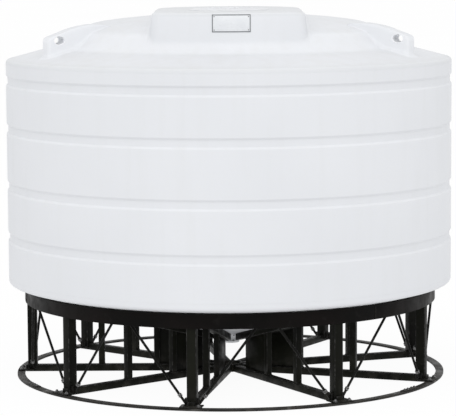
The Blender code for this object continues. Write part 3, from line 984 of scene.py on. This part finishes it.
def build_outlet(plastic, metal):
    """The outlet: collar, pipe and bolted flange."""
    top = cone_z(SUMP_RADIUS) - GAP
    collar_radius, collar_height = OUTLET_COLLAR
    flange_radius, flange_height = OUTLET_FLANGE
    profile = rounded([
        (collar_radius, top, 0.0),
        (collar_radius, top - collar_height, COLLAR_ROUND),
        (OUTLET_PIPE, top - collar_height, PIPE_FILLET),
        (OUTLET_PIPE, OUTLET_BASE_Z + flange_height, PIPE_FILLET),
        (flange_radius, OUTLET_BASE_Z + flange_height, ROLLED_ROUND),
        (flange_radius, OUTLET_BASE_Z, INNER_ROUND),
        (OUTLET_BORE, OUTLET_BASE_Z, INNER_ROUND),
        (OUTLET_BORE, top, 0.0),
    ])
    bm = painted(turned(profile, OUTLET_STEPS), 0)
    standing = Matrix.Translation((FLANGE_NUTS[0], 0.0, OUTLET_BASE_Z + flange_height))
    hung = Matrix.Translation((COLLAR_NUTS[0], 0.0, top - collar_height))
    hung = hung @ Matrix.Rotation(math.pi, 4, "X")
    for k in range(OUTLET_BOLTS):
        turn = Matrix.Rotation(2 * math.pi * (k + 0.5) / OUTLET_BOLTS, 4, "Z")
        join(bm, painted(bolt(FLANGE_NUTS[1], OUTLET_NUT_HEIGHT), 1), turn @ standing)
        join(bm, painted(bolt(COLLAR_NUTS[1], OUTLET_NUT_HEIGHT), 1), turn @ hung)
    outlet = finished("outlet", bm, [plastic, metal])
    dressed(outlet, "fitting", "outlet_fitting")


# Stand pieces


def frame_mesh(steel):
    """One welded radial frame along +X, as one mesh."""
    inner_face = POST_FACE - POST
    plate_top = RING_THICKNESS + GAP + FOOT_PLATE[3]
    half = POST / 2
    bm = slab(
        [
            (POST_FACE, plate_top),
            (POST_FACE, cone_z(POST_FACE) - GAP),
            (inner_face, cone_z(inner_face) - GAP),
            (inner_face, plate_top),
        ],
        POST,
        TUBE_EDGE,
        3,
    )
    drop = RAIL_DEPTH / math.cos(CONE_ANGLE)
    ends = (RAIL_INNER, inner_face + half)
    rail_top = [(r, cone_z(r) - GAP) for r in ends]
    rail_base = [(r, z - drop) for r, z in reversed(rail_top)]
    join(bm, slab(rail_top + rail_base, RAIL_WIDTH, TUBE_EDGE, 3))
    ring_face = RING_RADII[0] * math.cos(math.pi / STAND_FACETS) - GAP
    spoke_sides = (-SPOKE / 2, SPOKE / 2)
    join(bm, block((HUB_FACE, ring_face), spoke_sides, (0.0, SPOKE), TUBE_EDGE, 3))
    for radius, width in (MID_POST, INNER_POST):
        reach = (radius - width / 2, radius + width / 2)
        across = (-width / 2, width / 2)
        rail_low = cone_z(radius) - drop
        upright = (SPOKE - POST_SUNK[0], rail_low + POST_SUNK[1])
        join(bm, block(reach, across, upright, SMALL_TUBE_EDGE, 3))
        join(bm, square_bead(reach, across, SPOKE))
        join(bm, bead([(r, s, cone_z(r) - drop) for s in across for r in reach]))
    web_ends = (WEB_INNER, INNER_POST[0])
    web_top = [(r, cone_z(r) - drop + WEB_SUNK) for r in web_ends]
    web_base = [(r, SPOKE - WEB_SUNK) for r in reversed(web_ends)]
    join(bm, slab(web_top + web_base, WEB_THICKNESS, PLATE_EDGE))
    for s in (-WEB_THICKNESS / 2, WEB_THICKNESS / 2):
        join(bm, bead([(r, s, SPOKE) for r in web_ends]))
        join(bm, bead([(r, s, cone_z(r) - drop) for r in web_ends]))
    join(bm, square_bead((inner_face, POST_FACE), (-half, half), plate_top))
    rail_sides = (-RAIL_WIDTH / 2, RAIL_WIDTH / 2)
    join(bm, bead([(inner_face, s, cone_z(inner_face) - drop) for s in rail_sides]))
    start, end, width, thickness = FOOT_PLATE
    join(bm, block((start, end), (-width / 2, width / 2), (plate_top - thickness, plate_top), PLATE_EDGE))
    bolt_radius, bolt_side = FOOT_BOLTS
    for side in (-1.0, 1.0):
        place = Matrix.Translation((bolt_radius, side * bolt_side, plate_top))
        join(bm, bolt(), place @ Matrix.Rotation(side * FOOT_BOLT_TURN, 4, "Z"))
    return shaped("radial_frame", bm, steel)


def brace_mesh(steel):
    """The two rods of a bay about +X, with their nuts, foot cleats and top tab, as one mesh."""
    thickness, width, height = TAB
    bm = block(
        (POST_FACE - thickness, POST_FACE),
        (-width / 2, width / 2),
        (ROD_TOP_Z - height / 2, ROD_TOP_Z + height / 2),
        PLATE_EDGE,
    )
    foot_out = POST_FACE - POST / 2
    plate_top = RING_THICKNESS + GAP + FOOT_PLATE[3]
    for side in (-1.0, 1.0):
        turn = Matrix.Rotation(side * BAY / 2, 4, "Z")
        foot = turn @ Vector((foot_out, -side * ROD_FOOT_SIDE, plate_top + GAP + ROD_RADIUS))
        top = Vector((POST_FACE - thickness, side * ROD_TOP_SIDE, ROD_TOP_Z))
        run = top - foot
        way = run.to_track_quat("Z", "Y").to_matrix().to_4x4()
        join(bm, painted(tube([foot, foot + run * 0.5, top], [ROD_RADIUS] * 3, 20), PAINT))
        for distance in ROD_NUTS_AT:
            nut = painted(prism(ROD_NUT[0], 0.0, ROD_NUT[1], 6), ZINC)
            join(bm, nut, Matrix.Translation(foot + run.normalized() * distance) @ way)
        length, breadth, rise = CLEAT
        cleat = block((-length, length), (-breadth, breadth), (0.0, rise), PLATE_EDGE)
        seat = Matrix.Translation((foot_out, -side * (ROD_FOOT_SIDE - CLEAT_ASIDE), plate_top))
        join(bm, cleat, turn @ seat)
        collar = [ROD_RADIUS * growth for growth in ROD_WELD_GROWTH]
        weld = tube([top - run.normalized() * distance for distance in ROD_WELD_AT], collar, 10)
        join(bm, painted(weld, BEAD))
    return shaped("bay_brace", bm, steel)


def build_frames(steel, rods):
    """The nine frames and the nine pairs of rods, round the stand."""
    for kind, slot, mesh, offset in (
        ("radial_frame", "stand_frame", frame_mesh(steel), 0.0),
        ("bay_brace", "stand_brace", brace_mesh(rods), BAY / 2),
    ):
        for i in range(FRAMES):
            obj = placed(f"{kind}_steel_{i + 1}", mesh, FIRST_FRAME + offset + i * BAY)
            dressed(obj, slot, f"{kind}_{i + 1}")


def seam_angle(index, bays):
    """Where two lengths of the band or ring meet. The first place is so many bays past frame 1."""
    return FIRST_FRAME + BAY * (FRAMES // SECTIONS * index + bays)


def build_band(steel):
    """The rolled top band with its lip and upright weld seams."""
    grow = 1.0 / math.cos(math.pi / STAND_FACETS)
    inner = (POST_FACE + GAP) * grow
    outer = inner + BAND_THICKNESS
    lip_width, lip_height = BAND_LIP
    top = cone_z(POST_FACE) - GAP
    profile = rounded([
        (outer + lip_width, top, ROLLED_ROUND),
        (outer + lip_width, top - lip_height, ROLLED_ROUND),
        (outer, top - lip_height, BAND_FILLET),
        (outer, BAND_BASE_Z, ROLLED_ROUND),
        (inner, BAND_BASE_Z, INNER_ROUND),
        (inner, top, 0.0),
    ], 3)
    bm = turned(profile, TANK_STEPS)
    for k in range(SECTIONS):
        seam = bead([(outer, 0.0, BAND_BASE_Z + BAND_FILLET), (outer, 0.0, top - lip_height)])
        join(bm, seam, Matrix.Rotation(seam_angle(k, SEAM_BAYS), 4, "Z"))
    band = finished("top_band_steel", bm, steel)
    dressed(band, "stand_band", "top_band")


def build_ring(steel):
    """The base ring with rounded edges and bolted splice plates."""
    low, high = RING_RADII
    profile = rounded([
        (high, RING_THICKNESS, ROLLED_ROUND),
        (high, 0.0, ROLLED_ROUND),
        (low, 0.0, ROLLED_ROUND),
        (low, RING_THICKNESS, ROLLED_ROUND),
    ], 3)
    bm = turned(profile, TANK_STEPS)
    middle = (low + high) / 2
    reach = (low + SPLICE_MARGIN, high - SPLICE_MARGIN)
    splice_top = RING_THICKNESS + SPLICE_THICKNESS
    for k in range(SECTIONS):
        turn = Matrix.Rotation(seam_angle(k, SPLICE_BAYS), 4, "Z")
        plate = block(reach, (-SPLICE_HALF, SPLICE_HALF), (RING_THICKNESS, splice_top), SPLICE_EDGE)
        join(bm, plate, turn)
        for s in SPLICE_BOLTS:
            join(bm, bolt(*SPLICE_BOLT), turn @ Matrix.Translation((middle, s, splice_top)))
    ring = finished("base_ring_steel", bm, steel)
    dressed(ring, "stand_ring", "base_ring")


def build_hub(steel):
    """The nine-sided hub that the ground spokes meet."""
    corner = 1.0 / math.cos(BAY / 2)
    face = (HUB_FACE - GAP) * corner
    bore = face - HUB_WALL * corner
    profile = rounded([
        (face, HUB_HEIGHT, ROLLED_ROUND),
        (face, 0.0, INNER_ROUND),
        (bore, 0.0, INNER_ROUND),
        (bore, HUB_HEIGHT, ROLLED_ROUND),
    ])
    bm = turned(profile, FRAMES, FIRST_FRAME + BAY / 2)
    hub = finished("hub_steel", bm, steel, 25.0)
    dressed(hub, "stand_frame", "hub")


# Camera, floor and light


def build_camera():
    """The camera at the photograph's angle, with its slight roll."""
    data = bpy.data.cameras.new("camera")
    data.sensor_width = SENSOR_WIDTH
    data.lens = SENSOR_WIDTH * FOCAL_PIXELS / IMAGE_WIDTH
    data.clip_end = CLIP_END
    camera = bpy.data.objects.new("camera", data)
    bpy.context.scene.collection.objects.link(camera)
    aside = math.atan((AXIS_COLUMN - IMAGE_WIDTH / 2) / FOCAL_PIXELS)
    camera.matrix_world = (
        Matrix.Translation((0.0, -CAMERA_DISTANCE, CAMERA_HEIGHT))
        @ Matrix.Rotation(aside, 4, "Z")
        @ Matrix.Rotation(math.pi / 2 - CAMERA_TILT, 4, "X")
        @ Matrix.Rotation(-CAMERA_ROLL, 4, "Z")
    )
    bpy.context.scene.camera = camera


def build_world():
    """Plain white surroundings, a little brighter overhead."""
    world = bpy.data.worlds.new("studio")
    bpy.context.scene.world = world
    world.use_nodes = True
    tree = world.node_tree
    ramp = tree.nodes.new("ShaderNodeValToRGB")
    ramp.color_ramp.elements[0].position = 0.50
    ramp.color_ramp.elements[0].color = SKY_LOW
    ramp.color_ramp.elements[1].position = 1.0
    ramp.color_ramp.elements[1].color = SKY_HIGH
    place = tree.nodes.new("ShaderNodeTexCoord")
    parts = tree.nodes.new("ShaderNodeSeparateXYZ")
    half = tree.nodes.new("ShaderNodeMapRange")
    half.inputs["From Min"].default_value = -1.0
    tree.links.new(place.outputs["Generated"], parts.inputs[0])
    tree.links.new(parts.outputs["Z"], half.inputs["Value"])
    tree.links.new(half.outputs["Result"], ramp.inputs["Fac"])
    background = tree.nodes["Background"]
    tree.links.new(ramp.outputs["Color"], background.inputs["Color"])
    background.inputs["Strength"].default_value = SKY_STRENGTH


def build_light():
    """One large soft square light, in front and above."""
    data = bpy.data.lights.new("front_softbox", "AREA")
    data.shape = "SQUARE"
    data.size = LIGHT_SIZE
    data.energy = LIGHT_POWER
    light = bpy.data.objects.new("front_softbox", data)
    bpy.context.scene.collection.objects.link(light)
    light.location = LIGHT_PLACE
    way = Vector(LIGHT_TARGET) - Vector(LIGHT_PLACE)
    light.rotation_euler = way.to_track_quat("-Z", "Y").to_euler()


def build_floor():
    """A wide pale floor, bright enough to read as white."""
    shader = Shader("floor_white", specular=0.0)
    tone = shader.mixed(shader.noise(0.3, 2.0), rgba(0.045, 0.045, 0.045), rgba(0.055, 0.055, 0.055))
    shader.tree.links.new(tone, shader.principled.inputs["Base Color"])
    shader.principled.inputs["Roughness"].default_value = 0.9
    shader.principled.inputs["Emission Color"].default_value = (1.0, 1.0, 1.0, 1.0)
    shader.principled.inputs["Emission Strength"].default_value = FLOOR_GLOW
    bpy.ops.mesh.primitive_circle_add(
        vertices=96, radius=FLOOR_RADIUS, fill_type="NGON", location=(0.0, 0.0, FLOOR_Z)
    )
    floor = bpy.context.object
    floor.name = "floor"
    floor.data.materials.append(shader.material)


def main():
    """Set the view and light, then build each piece."""
    build_camera()
    bpy.context.scene.view_settings.view_transform = "Standard"
    build_world()
    build_light()
    build_floor()

    white = rgba(0.735, 0.748, 0.775)
    shade = rgba(0.705, 0.719, 0.746)
    wall = white_plastic("wall_plastic", white, shade)
    roof = white_plastic("roof_plastic", white, shade, dust=0.10, shade_belts=ROOF_SHADE_BELTS)
    # sides lightens the lugs' upright sides: painted light.
    lugs = white_plastic("lug_plastic", white, shade, dust=0.10, sides=0.35)
    bottom = white_plastic("bottom_plastic", white, shade, streaks=0.05)
    lid = white_plastic("lid_plastic", rgba(0.74, 0.75, 0.77), shade, roughness=0.34)
    # The bore's plastic is lighter than the rest: painted light in the shaded hole.
    bore = white_plastic("bore_plastic_painted_light", rgba(0.86, 0.87, 0.89), rgba(0.82, 0.83, 0.85), roughness=0.55)
    let_light_through(bore, BORE_REACH)
    fitting = white_plastic("fitting_plastic", rgba(0.74, 0.75, 0.76), shade, dust=0.30, roughness=0.45)
    panel = plate_paint("panel_paint", rgba(0.74, 0.755, 0.775), rgba(0.70, 0.716, 0.74))
    border = plate_paint("border_paint", rgba(0.20, 0.21, 0.22), rgba(0.16, 0.17, 0.18))
    metal = zinc("zinc")
    black = rgba(0.0035, 0.0035, 0.0030)
    steel = black_paint("frame_paint", black, rgba(0.0085, 0.0090, 0.0060))
    # More worn grey on the rods: partly wear, partly a painted highlight.
    rods = black_paint("rod_paint", black, rgba(0.010, 0.010, 0.009), wear_and_glint=0.5)
    band = black_paint(
        "band_paint", rgba(0.0025, 0.0025, 0.0022), rgba(0.0055, 0.0040, 0.0036), wear_and_glint=0.12
    )
    # The ring's lighter tone and bright bare patches are partly wear and partly a painted highlight.
    ring = black_paint(
        "ring_paint",
        rgba(0.012, 0.012, 0.012),
        rgba(0.034, 0.033, 0.031),
        wear_and_glint=0.9,
        dust=0.8,
        bare=rgba(0.20, 0.195, 0.185),
        rubs=6.0,
    )
    edge = worn_edge("edge_paint")
    weld = weld_paint("weld_paint")

    build_wall(wall)
    build_roof(roof)
    build_lugs(lugs, bore)
    build_lid(lid)
    build_plate(panel, border, metal)
    build_bottom(bottom)
    build_outlet(fitting, metal)
    build_frames([steel, edge, weld, metal], [rods, edge, weld, metal])
    build_band([band, edge, weld, metal])
    build_ring([ring, edge, weld, metal])
    build_hub([steel, edge, weld, metal])


main()
